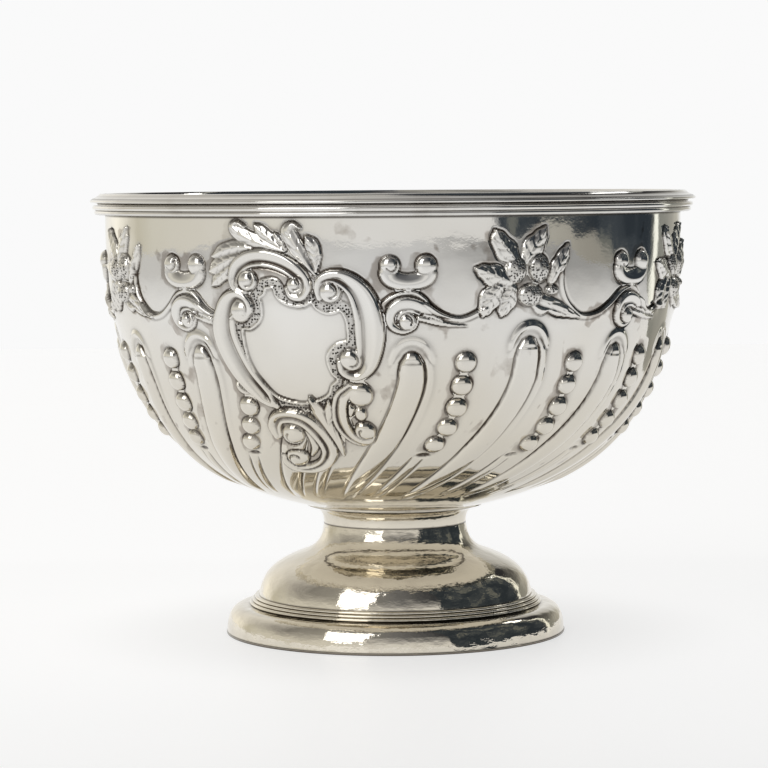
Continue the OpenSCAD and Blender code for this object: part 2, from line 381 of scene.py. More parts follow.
def plate_motif(deg):
    """The bare plate with its matted border, framed in scrolls, with leaves above."""
    p = Patch(deg, 48, 1.0, 124)
    plate = [(-11, 30.5), (-7.5, 30.3), (-6.5, 33.5), (-3.5, 36.5), (1, 38), (6, 38), (9.5, 36.5),
             (11.5, 39), (15, 41), (19, 41), (22, 40), (24, 43.5), (24.5, 48), (24, 53),
             (19.5, 54.5), (15.5, 58), (14.5, 62.5), (16, 68), (18, 70.5), (15, 73.5),
             (13.5, 77), (10.5, 79.5), (5.5, 81.5), (0, 82.2), (-6, 81.2), (-11, 79),
             (-15.5, 74), (-19.5, 68), (-22.3, 61), (-23.4, 54), (-23.5, 48.6), (-19.5, 48.2),
             (-15.5, 45.5), (-13.5, 42), (-13.5, 37), (-14.3, 34.8), (-12.0, 33.0), (-11, 30.5)]
    d, _, _ = along(p.X, p.Y, [q + (1,) for q in plate], 4)
    inside = np.zeros(p.X.shape, bool)
    for (ax, ay), (bx, by) in zip(plate, plate[1:] + plate[:1]):
        if ay != by:
            cross = (ay > p.Y) != (by > p.Y)
            inside ^= cross & (p.X < ax + (p.Y - ay) * (bx - ax) / (by - ay))
    out = np.where(inside, -np.abs(d), np.abs(d))
    p.M = np.clip((out - 0.35) / 0.3, 0, 1) * np.clip((4.3 - out) / 0.4, 0, 1)
    p.Z = 0.60 * np.exp(-(out / 0.42) ** 2) + 0.30 * np.clip((4.7 - out) / 0.8, 0, 1) * (out > 0)
    bare = p.Z.copy()
    for tip, h in (
            ([(-27, 21, 1.6), (-31, 24.2, 2.7), (-35, 27, 2.5), (-37.4, 29.5, 0.7)], 1.7),
            ([(-23, 16.8, 1.8), (-29, 18.8, 3.4), (-34.6, 21.4, 3.4), (-38.2, 23.4, 1.0)], 2.0),
            ([(-17, 13.5, 1.5), (-23.5, 13.0, 3.0), (-30.5, 14.4, 3.3), (-36.6, 17.0, 0.9)], 2.1),
            ([(-1, 14, 0.9), (-3, 10.6, 1.9), (-5.6, 7.2, 0.9)], 1.8),
            ([(-2.5, 13.5, 1.5), (-8, 9.6, 2.9), (-12.6, 6.0, 2.6), (-15.0, 3.6, 0.8)], 2.0),
            ([(-1.5, 14.5, 0.9), (-9, 12.5, 2.9), (-16.5, 10, 3.6), (-22.5, 7.0, 3.5),
              (-25.6, 4.2, 2.6), (-24, 2.6, 1.6), (-20.6, 4.2, 1.1)], 2.3),
            ([(12.5, 23, 0.7), (12.0, 17.5, 2.6), (10.9, 12.6, 3.2), (8.3, 8.6, 1.0)], 2.0),
            ([(12, 24.5, 0.7), (8.5, 20, 2.3), (4.8, 14.5, 3.4), (2.0, 10, 4.0),
              (0.3, 6.0, 3.3), (2.4, 3.4, 1.7), (5.4, 4.8, 0.9)], 2.3)):
        leaf(p, tip, h, 3)
    band(p, [(-11.5, 84, 1.2), (-18, 77, 4.0), (-24.5, 69, 5.1), (-29.2, 60.5, 5.9),
             (-32.2, 52.5, 6.1), (-32.8, 46.5, 5.9), (-31.5, 40.5, 5.1), (-29, 36, 4.1),
             (-25, 34, 3.1), (-21, 35.5, 2.5), (-19.3, 39.5, 2.1), (-21.5, 43, 1.4)],
         2.8, flip=-1, groove=-0.42)
    dome(p, -23.8, 40.6, 5.0, 5.0, 3.1)
    leaf(p, [(-28.5, 43.5, 0.7), (-24.5, 41, 1.5), (-21.2, 42.5, 0.7)], 3.3, 2)
    band(p, [(13.2, 34.5, 1.4), (12.6, 31, 1.7), (14.2, 27.0, 2.4), (19, 25.3, 2.9),
             (24.5, 26.8, 3.9), (29.5, 31, 5.0), (32.5, 37, 6.0), (33.8, 44, 6.3), (33.8, 51, 6.3),
             (32.8, 58, 5.4), (30.6, 64, 4.4), (26, 67.8, 3.1), (21.0, 66.6, 2.0),
             (19.8, 62.5, 1.4)], 2.8, flip=-1, groove=-0.5)
    eye(p, 18.0, 32, 4.8, 3.2, -80, 200)
    eye(p, 24.9, 61.6, 5.0, 3.2, -80, 200)
    band(p, [(-21.0, 32.2, 1.5), (-24.6, 31.0, 2.0), (-26.0, 26.5, 2.6), (-24.0, 21.6, 3.4),
             (-19, 18.3, 3.9), (-12.5, 17.3, 4.1), (-5.5, 18.5, 4.1), (1, 21.5, 3.9),
             (5.8, 25.7, 3.5), (7.4, 30, 2.9), (5.2, 33.8, 2.1), (1.0, 33.6, 1.7),
             (-0.9, 30.5, 1.3)], 2.8, flip=-1, groove=-0.5)
    eye(p, -19.6, 27.4, 4.6, 3.2, -60, 170)
    eye(p, 2.6, 29.2, 3.6, 2.9, -70, 200)
    band(p, [(23, 74.6, 2.7), (18.5, 78.9, 3.2), (16.5, 85.0, 3.6), (16.2, 91.6, 3.6),
             (18, 97.3, 3.1), (21.5, 101.2, 2.5), (25.8, 101.6, 1.9), (28.6, 98.6, 1.3)],
         2.4, flip=-1, groove=-0.4)
    dome(p, 26.5, 77.6, 5.7, 5.5, 3.3)
    eye(p, 25.6, 96.2, 4.6, 3.1, 60, 200)
    dome(p, 25.3, 87.2, 2.6, 3.3, 2.2)
    leaf(p, [(13.5, 110, 0.6), (12.2, 101, 2.0), (9.8, 93, 3.0), (7.2, 86, 3.1), (4.4, 79.5, 0.8)],
         2.4, 1, 0.03)
    leaf(p, [(10.4, 92.0, 1.4), (11.6, 86.5, 2.3), (12.4, 81.0, 0.7)], 2.2, 1, 0.03)
    band(p, [(-14.2, 98.5, 2.2), (-14.7, 93.3, 3.1), (-11.7, 89.4, 3.5), (-5.5, 88.6, 3.9),
             (0.4, 91.0, 4.2), (4.6, 96.3, 4.3), (7.2, 102.7, 4.2), (7.4, 108.5, 3.8),
             (5, 113.6, 3.2), (1, 117.4, 2.8), (-4.5, 119.4, 2.4), (-11, 118.6, 2.1),
             (-14.8, 115.2, 1.7), (-14.8, 111.5, 1.3)], 2.8, flip=-1, groove=-0.35)
    eye(p, -7.0, 98.4, 5.2, 3.2, 40, 210)
    eye(p, -8.4, 112.2, 5.2, 3.2, 130, 210)
    band(p, [(-1.0, 96.5, 0.6), (1.0, 101, 1.5), (1.2, 106, 1.7), (-1.5, 111, 0.8)], 1.6)
    # the plate and its frame hide the flutes and beads behind them
    cover = blur(((p.Z > 0.3) | inside).astype(float), 2, 1)
    H[p.ix] *= np.clip(1 - 1.7 * cover, 0, 1)
    p.M *= (p.Z < bare + 0.02)
    CLEAN[p.ix] *= ~inside
    p.lay()


def lean(s, deg):
    """How far a flute has swung at s, in degrees; hand-work, so it differs round the bowl."""
    k = 0.95 + 0.27 * math.sin(math.radians(deg))
    return -21.0 * k * (np.clip(s - LEAN_FROM, 0, None) / LEAN_OVER) ** 1.5


def beside(deg, shift=0):
    """Angle of each cell of the map from the leaning line that starts at deg, or shift beside it."""
    line = np.radians(deg + shift + lean(S[:, None], deg))
    return (TH[None, :] + SWING[:, None] - line + math.pi) % (2 * math.pi) - math.pi


def flutes():
    """Swirled tongues, each in a raised hood, and the channels of the beads between them."""
    s = S[:, None]
    r = R[:, None]
    half = np.interp(S, [56, 58, 62, 66, 75, 90, 107, 127, 142, 154, 162],
                     [0.3, 2.8, 5.0, 5.7, 6.1, 6.1, 6.1, 4.8, 3.4, 2.2, 1.0])[:, None]
    rise = np.interp(S, [56, 60, 66, 100, 125, 145, 160], [0.3, 2.0, 2.3, 2.0, 1.5, 0.9, 0.0])[:, None]
    total = np.zeros_like(H)
    for k, deg in enumerate(FLUTE_AT):
        # the tongue right of the front begins higher, and its hood is bolder
        top = -4.5 if k == 4 else 1.5 * math.sin(2.4 * k + 1.0)
        bold = 1.35 if k == 4 else 0.85 + 0.25 * math.sin(1.9 * k)
        s2 = s - top * np.clip((100 - s) / 40, 0, 1)
        w = np.interp(s2[:, 0], S, half[:, 0])[:, None]
        h = np.interp(s2[:, 0], S, rise[:, 0])[:, None]
        ends = np.clip((s2 - 56.5) / 1.5, 0, 1) * np.clip((152 - s) / 12, 0, 1)
        x = beside(deg) * r
        u = x / w
        total += h * hump(np.clip(np.abs(u), 0, 1), 0.62) * ends
        total -= 0.62 * np.exp(-((np.abs(u) - 1.02) * w / 0.8) ** 2) * ends * np.where(u > 0, 1, 0.7)
        STREAK[:] += np.exp(-((u + 1.42) * w / 2.1) ** 2) * np.interp(
            s2[:, 0], [62, 70, 92, 104], [0, 1, 1, 0])[:, None]
        side = np.clip((np.abs(x) - w) / 3.4, 0, 2)
        hood = bold * np.exp(-((side - 0.62) / 0.42) ** 2) * np.interp(
            s2[:, 0], [58, 64, 85, 105], [1, 1, 0.35, 0.0])[:, None]
        hood = hood * np.where(u > 0, 1.0, np.clip(0.2 + (66 - s2) / 8, 0, 1)) * (s2 > 56)
        over = np.hypot(x / 9.4, (s2 - 62) / 11.0)
        arch = bold * np.exp(-((over - 0.90) / 0.15) ** 2) * np.clip((64 - s2) / 4, 0, 1)
        brow = 0.3 * np.clip(1 - over, 0, 1) * (s2 < 62)
        total += np.maximum(hood * (np.abs(u) > 1) * np.clip((s2 - 58) / 5, 0, 1), arch) - brow
    for deg in BEADS_AT:
        for shift, depth in ((-1.4, 0.55), (1.6, 0.35)):
            total -= depth * np.exp(-(beside(deg, shift) * r / 0.7) ** 2) * np.interp(
                S, [110, 117, 138, 150], [0, 1, 1, 0])[:, None]
        total += 0.5 * hump(np.clip(beside(deg) * r / 2.6, -1, 1), 1) * np.interp(
            S, [113, 119, 138, 150], [0, 1, 1, 0])[:, None]
    H[:] += total


def bead_row(deg, low):
    """Five graded beads in a shallow channel; low moves them down the wall."""
    p = Patch(deg, 60, 55, 120)
    tilt = np.radians(lean(p.Y, deg) * 0.9) * R[p.rows][:, None]
    bed = np.exp(-((p.X - tilt) / 5.4) ** 4) * np.clip((p.Y - 56) / 4, 0, 1) \
        * np.clip((113 - p.Y) / 5, 0, 1)
    notch = np.hypot((p.X - tilt) / 3.0, (p.Y - 111.5 - low) / 1.3)
    H[p.ix] -= 0.45 * bed + 0.7 * np.exp(-notch ** 4)
    for s, turn, size in ((63.3, 0, 4.65), (74.0, -0.4, 4.65), (84.7, -1.0, 4.6), (95, -2.5, 4.4),
                          (104.6, -4.8, 4.2)):
        s = s + low
        dome(p, math.radians(turn) * float(radius(s)), s, size, size, size * 0.68)
    p.lay(0.3)


flutes()
for n, where in enumerate(BEADS_AT):
    bead_row(where, (0, 0, 0, 0, 1.6, 1.0)[n] if n < 6 else 0.8 * math.sin(2.0 * n))
for where in SCROLL_AT:
    garland(where)
for where in SCROLL_AT:
    scroll_motif(where)
for where in FRUIT_AT:
    fruit_motif(where)
for where in PLATE_AT:
    plate_motif(where)

# hand-work: broad unevenness all round, and fine dents in the plain metal close to the ornament
fade = np.interp(S, [0.5, 2.5, RUN_END - 14, RUN_END - 3], [0, 1, 1, 0])[:, None]
fade[S < 0.5] = 0
tt, ss = np.meshgrid(TH, S)
hand = np.zeros_like(H)
for n in range(14):
    m = int(RNG.integers(3, 22))
    hand += RNG.normal() * np.sin(m * tt + RNG.uniform(0, 6.28)
                                  + ss * RNG.uniform(-0.12, 0.12)) / (4 + m)
close = blur(ORN, 9, 2, wrap=True)
free = 1 - np.clip(blur(ORN, 2, 1, wrap=True), 0, 1)
flat = np.interp(S, [2, 12, 150, 175], [0, 1, 1, 0])[:, None]
H += flat * (0.10 * hand + haze(9) * free * (0.010 + 0.10 * np.clip(close, 0, 0.4))
             + 0.003 * haze(4))
H *= fade

# where the metal is darkened: chased lines and broad hollows get tarnish and painted shade, and stains
# lie on one side of the ornament
CAVITY = np.clip((blur(H, LINE, 1, wrap=True) - H) / 0.19, 0, 1) * np.clip(VARY, 0.45, 1)
# a dark line under the reeded wire: tarnish with painted shade where the wire meets the wall
CAVITY = np.maximum(CAVITY, np.interp(S, [-1, 0.5, 1.2], [1, 1, 0])[:, None])
LOW = np.clip((blur(H, 5, 2, wrap=True) - H) / 0.7, 0, 1)
shifted = blur(np.roll(ORN, -6, 1), 5, 2, wrap=True) * 0.8 + 0.2 * close
STAIN = shifted * 2.0 + 0.5 * LOW + 0.42 * STREAK + 0.30 * haze(7) + 0.16 * haze(2)
STAIN = np.clip((STAIN - 0.62) * 5, 0, 1) * (ORN < 0.5)
STAIN *= np.interp(S, [1, 6, 120, 150], [0, 1, 1, 0])[:, None] * blur(CLEAN, 1, 1, wrap=True)
STAIN = np.maximum(STAIN, 0.75 * BROWN * np.clip(1.0 + 0.3 * haze(6), 0, 1))


# ---------------------------------------------------------------- mesh building

def skin(rings, first=None, last=None, closed=False):
    """Vertices and faces through rings of points; a ring may have half its neighbour's points."""
    verts, faces, start = [], [], []
    for ring in rings:
        start.append(sum(len(v) for v in verts))
        verts.append(ring)
    pairs = list(zip(range(len(rings) - 1), range(1, len(rings))))
    if closed:
        pairs.append((len(rings) - 1, 0))
    for i, j in pairs:
        a, b, na, nb = start[i], start[j], len(rings[i]), len(rings[j])
        if na == nb:
            k = np.arange(na)
            faces += np.stack([a + k, b + k, b + (k + 1) % nb, a + (k + 1) % na], 1).tolist()
        elif na > nb:
            m = na // nb
            for k in range(nb):
                faces.append([b + k, b + (k + 1) % nb]
                             + [a + (k * m + q) % na for q in range(m, -1, -1)])
        else:
            m = nb // na
            for k in range(na):
                faces.append([b + (k * m + q) % nb for q in range(m + 1)]
                             + [a + (k + 1) % na, a + k])
    verts = np.concatenate(verts)
    for pole, at in ((first, 0), (last, -1)):
        if pole is not None:
            c = len(verts)
            verts = np.concatenate([verts, [pole]])
            a, n = start[at], len(rings[at])
            k = range(n)
            if at == 0:
                faces += [[c, a + q, a + (q + 1) % n] for q in k]
            else:
                faces += [[c, a + (q + 1) % n, a + q] for q in k]
    return verts, faces


def make(name, verts, faces, node, material, data, sharp=None):
    """A piece that stands for a CAD node; data is its attributes, sharp the angle of its sharp edges."""
    mesh = bpy.data.meshes.new(name)
    mesh.from_pydata((np.asarray(verts) * MM).tolist(), [], faces)
    mesh.validate()
    for key, values in data.items():
        layer = mesh.attributes.new(key, "FLOAT", "POINT")
        full = np.zeros(len(mesh.vertices), np.float32)
        full[:len(values)] = values
        layer.data.foreach_set("value", full)
    mesh.polygons.foreach_set("use_smooth", [True] * len(mesh.polygons))
    if sharp:
        mesh.set_sharp_from_angle(angle=math.radians(sharp))
    mesh.materials.append(material)
    piece = bpy.data.objects.new(name, mesh)
    bpy.context.scene.collection.objects.link(piece)
    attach(piece, "root")
    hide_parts(node)


def ring_points(r, z, n, swing=0.0):
    """n points round the axis, from the back round by the left; swing turns them."""
    t = (np.arange(n) / n * 2 - 1) * math.pi + swing
    r = np.broadcast_to(r, t.shape)
    z = np.broadcast_to(z, t.shape)
    return np.stack([r * np.sin(t), -r * np.cos(t), z], 1)


def lathe(name, outline, node, material, n, wobble, shade_and_soil, lines):
    """A closed outline of (radius, height) turned into a ring, with a little hand-work left in it.

    Its recesses are darkened with tarnish and painted shade, and so are the lines at the heights given.
    """
    rings, ahead = [], np.roll(outline, -1, 0) - np.roll(outline, 1, 0)
    side = np.stack([ahead[:, 1], -ahead[:, 0]], 1) / (np.hypot(*ahead.T)[:, None] + 1e-9)
    if (outline[:, 0] * ahead[:, 1] - outline[:, 1] * ahead[:, 0]).sum() < 0:
        side = -side
    centre = np.zeros_like(outline)
    for i, q in enumerate(outline):
        near = np.exp(-(np.hypot(*(outline - q).T) / 0.9) ** 2)
        centre[i] = (outline * near[:, None]).sum(0) / near.sum()
    # darkening in recesses and along the given lines: tarnish with painted shade
    recess = np.clip(((centre - outline) * side).sum(1) / 0.14, 0, 1) * shade_and_soil
    for level in lines:
        recess = np.maximum(recess, np.exp(-((outline[:, 1] - level) / 0.3) ** 2))
    t = (np.arange(n) / n * 2 - 1) * math.pi
    for r, z in outline:
        # waves round the ring, such as handling leaves
        dr = wobble * (0.5 * np.sin(3 * t + 1.1) + 0.3 * np.sin(7 * t + z * 0.2)
                       + 0.12 * np.sin(19 * t + z * 0.5) + 0.10 * np.sin(31 * t - z * 0.4)
                       + 0.07 * np.sin(47 * t + z * 0.9))
        rings.append(ring_points(r + dr, z, n))
    v, f = skin(rings, closed=True)
    make(name, v, f, node, material, {"cavity": np.repeat(recess, n)}, sharp=38)


# ---------------------------------------------------------------- materials

class Nodes:
    """Short ways to add to a node tree; a value is a number, a colour or another node's output."""

    def __init__(self, tree):
        self.tree = tree

    def feed(self, socket, value):
        if isinstance(value, bpy.types.NodeSocket):
            self.tree.links.new(value, socket)
        else:
            socket.default_value = value

    def add(self, kind, **values):
        n = self.tree.nodes.new("ShaderNode" + kind)
        for key, value in values.items():
            if key in n.inputs:
                self.feed(n.inputs[key], value)
            else:
                setattr(n, key, value)
        return n

    def maths(self, op, a, b=0.0, clamp=False):
        n = self.add("Math", operation=op, use_clamp=clamp)
        self.feed(n.inputs[0], a)
        self.feed(n.inputs[1], b)
        return n.outputs[0]

    def mix(self, fac, a, b):
        return self.add("MixRGB", Fac=fac, Color1=a, Color2=b).outputs[0]

    def noise(self, place, **values):
        return self.add("TexNoise", Vector=place, **values).outputs[0]

    def bump(self, depth, normal, strength, distance, invert=False):
        n = self.add("Bump", Height=depth, Strength=strength, Distance=distance, invert=invert)
        if normal is not None:
            self.feed(n.inputs["Normal"], normal)
        return n.outputs[0]

    def spread(self, value, low, high, start, end):
        """Maps low..high smoothly to start..end."""
        limits = {"From Min": low, "From Max": high, "To Min": start, "To Max": end}
        return self.add("MapRange", interpolation_type="SMOOTHSTEP", Value=value, **limits).outputs[0]

    def ramp(self, fac, *stops):
        """A ramp through stops of (place, colour); a grey is one number."""
        n = self.add("ValToRGB", Fac=fac)
        e = n.color_ramp.elements
        stops = [(place, (c, c, c, 1) if isinstance(c, float) else (*c, 1)) for place, c in stops]
        (e[0].position, e[0].color), (e[1].position, e[1].color) = stops[0], stops[-1]
        for place, colour in stops[1:-1]:
            e.new(place).color = colour
        return n.outputs[0]


def silver(name, tint, recess_darkness, rough, relief, turned=False):
    """Polished silver: warm metal, thin tarnish and painted shade in the recesses, fine scratches,
    hand-work.

    With relief it reads the embossed shell's attributes. Turned metal has its marks round the axis.
    """
    m = bpy.data.materials.new(name)
    m.use_nodes = True
    m.node_tree.nodes.clear()
    t = Nodes(m.node_tree)
    maths = t.maths
    bsdf = t.add("BsdfPrincipled", Metallic=1.0)
    t.add("OutputMaterial", Surface=bsdf.outputs[0])
    where = t.add("TexCoord").outputs["Object"]
    stains = t.noise(where, Scale=55.0, Detail=5.0, Roughness=0.6)
    cloud = t.noise(where, Scale=14.0, Detail=3.0, Roughness=0.5)

    def painted(key):
        return t.add("Attribute", attribute_name=key).outputs["Fac"]

    # the recesses are darkened from the attributes: tarnish together with painted shade
    tarnish_and_shade = maths("MULTIPLY", painted("cavity"), 0.92, True)
    if relief:
        matt = painted("matt")
        tarnish_and_shade = maths("ADD", tarnish_and_shade, maths("MULTIPLY", painted("low"), 0.26), True)
        tarnish_and_shade = maths("ADD", tarnish_and_shade, maths("MULTIPLY", matt, 0.16), True)
        spots = maths("MULTIPLY", maths("SUBTRACT", stains, 0.38, True), 5.0, True)
        patches = maths("MULTIPLY", maths("MULTIPLY", painted("stain"), spots), 0.66, True)
    else:
        spots = maths("MULTIPLY", maths("SUBTRACT", stains, 0.52, True), 3.0, True)
        patches = maths("MULTIPLY", spots, 0.36, True)
    tarnish_and_shade = maths("MULTIPLY", tarnish_and_shade, recess_darkness, True)

    # warmer in clouds and low on the object, brown in the stains, nearly black in the recesses: tarnish
    # and painted shade
    z = t.add("SeparateXYZ", Vector=where).outputs["Z"]
    lower = maths("MULTIPLY", maths("SUBTRACT", 0.155, z), 15.0, True)
    warm = maths("ADD", maths("SUBTRACT", maths("MULTIPLY", cloud, 1.2), 0.38), lower, True)
    colour = t.mix(warm, (*tint, 1), (tint[0] * 0.865, tint[1] * 0.825, tint[2] * 0.745, 1))
    colour = t.mix(patches, colour, (0.30, 0.255, 0.215, 1))
    colour = t.mix(tarnish_and_shade, colour, (0.07, 0.056, 0.045, 1))
    roughness = maths("ADD", maths("MULTIPLY", stains, 0.05), rough - 0.025)
    roughness = maths("ADD", roughness, maths("MULTIPLY", tarnish_and_shade, 0.22))

    # fine scratches from stretched noise: round the foot, or two ways over the bowl
    normal = None
    grains = [((18, 18, 2600), 0.035)] if turned else [((900, 120, 900), 0.035),
                                                       ((160, 1100, 500), 0.03)]
    for stretch, strength in grains:
        grain = t.add("Mapping", Vector=where, Scale=stretch).outputs[0]
        normal = t.bump(t.noise(grain, Scale=1.0, Detail=2.0), normal, strength, 0.0003)
    flat = t.add("Mapping", Vector=where, Scale=(1, 1, 2.4 if turned else 1)).outputs[0]
    hammer = t.noise(flat, Scale=75.0, Detail=4.0 if turned else 1.0, Roughness=0.5)
    normal = t.bump(hammer, normal, 0.75 if turned else 0.25, 0.0006)

    if relief:
        # the matting punch's dots
        dots = t.add("TexVoronoi", Vector=where, Scale=840.0, Randomness=0.6).outputs["Distance"]
        pit = maths("MULTIPLY", maths("SUBTRACT", 0.44, dots, True), 7.0, True)
        pit = maths("MULTIPLY", pit, matt, True)
        colour = t.mix(pit, colour, (0.05, 0.045, 0.04, 1))
        normal = t.bump(pit, normal, 0.7, 0.0004, invert=True)
        roughness = maths("ADD", roughness, maths("MULTIPLY", matt, 0.12))
    t.feed(bsdf.inputs["Base Color"], colour)
    t.feed(bsdf.inputs["Roughness"], roughness)
    t.feed(bsdf.inputs["Normal"], normal)
    return m


BOWL = silver("bowl_silver", (0.825, 0.815, 0.79), 1.0, 0.06, True)
RIM = silver("rim_silver", (0.82, 0.81, 0.79), 0.8, 0.08, False)
FOOT = silver("foot_silver", (0.875, 0.855, 0.81), 1.0, 0.06, False, turned=True)


# ---------------------------------------------------------------- the embossed shell

nr, nz = outward(S)
outer = []
for i, s in enumerate(S):
    step = 1 if s <= 158 else 2 if s <= 170 else 4      # the plain seat needs fewer columns
    h = H[i, ::step]
    outer.append(ring_points(radius(s) + h * nr[i], height(s) + h * nz[i], COLS // step, SWING[i]))
data = {k: np.concatenate([a[i, ::COLS // len(ring)] for i, ring in enumerate(outer)])
        for k, a in (("cavity", CAVITY), ("low", LOW), ("stain", STAIN), ("matt", MAT))}
soft = blur(H, 9, 2, wrap=True) * 0.55          # the relief as it shows from the back
inner = []
for i in range(0, len(S) - 1, 4):
    h = soft[i, ::4]
    z = np.maximum(height(S[i]) + (h - sheet) * nz[i], foot_h + sheet)
    if i == 0:
        z = np.full_like(z, lip_z)
    inner.append(ring_points(radius(S[i]) + (h - sheet) * nr[i], z, COLS // 4, SWING[i]))
bottom = [ring_points(r, foot_h + sheet, COLS // 16, SWING[-1]) for r in (12, collar_r - 6)]
inner = bottom + inner[::-1]
rings = inner + outer + [ring_points(14, foot_h, COLS // 8, SWING[-1])]
verts, faces = skin(rings, first=(0, 0, foot_h + sheet), last=(0, 0, foot_h))
plain = np.zeros(sum(len(ring) for ring in inner))      # the inside is clean
data = {k: np.concatenate([plain, v]) for k, v in data.items()}
make("bowl_shell_embossed", verts, faces, "bowl_shell", BOWL, data)


# ---------------------------------------------------------------- rim and foot

roll = 0.9                    # radius of the lip
bead = 0.6                    # radius of the bead at the rim's outside
bead_z = rim_z + 1.8
lathe("rim_moulding_wire", np.concatenate([
    [[bowl_r, rim_z], [rim_r - 3.8, rim_z]],
    cubic((rim_r - 3.6, rim_z), (rim_r - 3.8, rim_z + 1.1), (rim_r - 2, rim_z + 0.9),
          (rim_r - bead, bead_z - bead), 14),
    arc(rim_r - bead, bead_z, bead, -90, 50, 10)[1:],
    cubic((rim_r - 0.4, bead_z + 0.5), (rim_r - 1.2, bead_z + 1.3),
          (rim_r - 2.9, bead_z + 1.5), (rim_r - 4.1, lip_z - 0.6), 14),
    arc(rim_r - 5, lip_z - roll, roll, 30, 90, 10),
    [[bowl_r + 0.6, lip_z], [bowl_r, lip_z - 0.2]]]),
    "rim_moulding", RIM, 640, 0.12, 1.0, (rim_z + 0.5, bead_z + 1.0))
reed = (rim_z - reed_z) / 4   # radius of each of the two reeds
lathe("rim_reeds", np.concatenate([
    [[bowl_r, reed_z], [rim_r - 3.2, reed_z]],
    arc(rim_r - 3.2, reed_z + reed, reed, -90, 60, 14),
    arc(rim_r - 2.3, rim_z - reed, reed, -60, 90, 14),
    [[bowl_r, rim_z]]]),
    "rim_reed_wire", RIM, 640, 0.12, 1.0, (reed_z,))
lathe("foot_collar_ring", np.concatenate([
    [[neck_r - 2.5, collar_z], [neck_r + 0.2, collar_z]],
    cubic((neck_r + 0.2, collar_z), (neck_r + 0.2, collar_z + 5),
          (neck_r + 2, foot_h - 1.7), (collar_r, foot_h - 0.6), 24)[1:],
    [[collar_r, foot_h], [neck_r - 2.5, foot_h]]]),
    "foot_collar", FOOT, 384, 0.1, 0.25, (collar_z, foot_h - 0.8))


def hollow_under(outside, thick, level):
    """The outline of a spun sheet: its outside, then the same line set inwards, down to level."""
    d = np.gradient(outside, axis=0)
    n = np.stack([d[:, 1], -d[:, 0]], 1) / np.hypot(*d.T)[:, None]
    inside = outside + n * thick
    keep = inside[1:-1][(inside[1:-1, 1] > level) & (inside[1:-1, 1] < outside[0, 1])]
    return np.concatenate([outside, [[inside[-1, 0], level]], keep[::-2],
                           [[inside[0, 0], outside[0, 1]]]])


bend = (shoulder_r - 21.9, 38.2)     # where the neck's curve meets the shoulder's
pedestal = np.concatenate([
    cubic((neck_r + 0.2, collar_z), (neck_r + 0.9, collar_z - 6.5), (neck_r + 3, 40.5), bend, 40),
    cubic(bend, (shoulder_r - 11.9, 34.4), (shoulder_r - 2.1, 31), (shoulder_r, ledge_z), 60)[1:]])
lathe("foot_pedestal_spun", hollow_under(pedestal, 1.2, ledge_z),
      "foot_pedestal", FOOT, 448, 0.14, 0.5, (collar_z, ledge_z))
thin = (ledge_z - flange_z) / 6      # radius of each of the three reeds
lathe("foot_ledge_ring", np.concatenate(
    [[[under_r, flange_z], [ledge_r - thin, flange_z]]]
    + [arc(ledge_r - thin - 1.2 * i, flange_z + (2 * i + 1) * thin, thin, -90, 90, 14)[1:]
       for i in range(3)]
    + [[[under_r, ledge_z]]]),
    "foot_ledge_wire", FOOT, 448, 0.12, 1.0, (flange_z,))
flange = np.concatenate([
    cubic((ledge_r - 0.6, flange_z), (ledge_r + 0.4, flange_z - 0.4),
          (ledge_r + 1.2, flange_z - 0.5), (foot_r - 8.6, flange_z - 0.5), 10),
    cubic((foot_r - 8.6, flange_z - 0.5), (foot_r - 3.6, flange_z - 0.5),
          (foot_r - 0.5, 10.2), (foot_r - 0.25, 1.6), 40)[1:],
    [[foot_r - 0.2, seat_wire_z + 0.3], [foot_r - 0.2, seat_wire_z]]])
body = hollow_under(flange, 1.4, seat_wire_z)
body = np.concatenate([body[:-1], [[under_r, flange_z - 1.4], [under_r, flange_z]]])
lathe("foot_flange_spun", body, "foot_flange", FOOT, 512, 0.12, 0.4,
      (flange_z, seat_wire_z))
# nearly the whole seat ring is darkened: a painted contact shadow where the foot stands on the table
lathe("foot_seat_ring", np.array([
    [foot_r - 4, 0], [foot_r - 0.15, 0], [foot_r, 0.3], [foot_r, seat_wire_z - 0.2],
    [foot_r - 0.2, seat_wire_z], [foot_r - 4, seat_wire_z]]),
    "foot_seat_wire", FOOT, 512, 0.0, 1.0, (0.0, 0.3, seat_wire_z))


# ---------------------------------------------------------------- studio

def polar(deg, r):
    """A place on the table: deg from the front, positive to the right, at distance r in metres."""
    return r * math.sin(math.radians(deg)), -r * math.cos(math.radians(deg))


def floor_glow(t):
    """How brightly the floor glows from place to place, in metres from the bowl's axis."""
    place = t.add("TexCoord").outputs["Object"]
    xyz = t.add("SeparateXYZ", Vector=place)
    x, y = xyz.outputs["X"], xyz.outputs["Y"]
    away = t.maths("ADD", t.maths("SUBTRACT", t.maths("ABSOLUTE", x), 0.45, True),
                   t.maths("SUBTRACT", -0.05, y, True))
    reach = t.add("VectorMath", operation="LENGTH", Vector=place).outputs["Value"]
    # painted light: the floor glows brightest near the bowl and fades away from it
    glow = t.spread(away, 0.0, 1.3, 0.748, 0.43)
    # the glow is painted light: behind the bowl it is a touch brighter, to the right dimmer, and close
    # round the foot dimmer still, as a painted contact shadow
    for part in (t.spread(y, 0.235, 0.275, 0.0, 0.014), t.spread(x, 0.45, 1.25, 0.0, -0.17),
                 t.spread(reach, 0.07, 0.17, -0.095, 0.0)):
        glow = t.maths("ADD", glow, part)
    return glow


